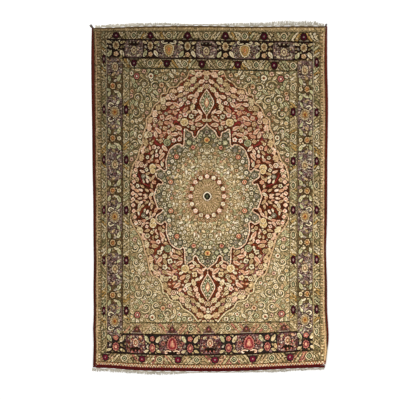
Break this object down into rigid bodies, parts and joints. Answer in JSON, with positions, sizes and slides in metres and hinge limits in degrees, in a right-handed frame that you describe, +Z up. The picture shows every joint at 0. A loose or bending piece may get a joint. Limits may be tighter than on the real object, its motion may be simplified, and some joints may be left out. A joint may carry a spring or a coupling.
{
  "type": "persian rug",
  "caption": "Hand-knotted medallion rug lying flat, with overcast side edges, woven ends and a short cotton fringe at each end.",
  "frame": {"origin": "middle of the flat underside, on the floor", "axes": "+Z up out of the pile, +Y along the rug's length towards the end with the brown woven band, +X across it"},
  "size_m": [1.4035, 2.0774, 0.009],
  "materials": {
    "pile": "cut wool pile in many colours, soft sheen",
    "selvedge": "overcast dark red wool",
    "kilim_brown": "flat-woven brown band",
    "kilim_red": "flat-woven dark red band",
    "fringe": "loose undyed cotton",
    "tuft": "loose dark wool"
  },
  "bodies": {
    "root": {"pile": "pile", "selvedge_left": "selvedge", "selvedge_right": "selvedge", "kilim_top": "kilim_brown", "kilim_bottom": "kilim_red", "fringe_top": "fringe", "fringe_bottom": "fringe", "tuft_left": "tuft", "tuft_right": "tuft"}
  },
  "joints": []
}
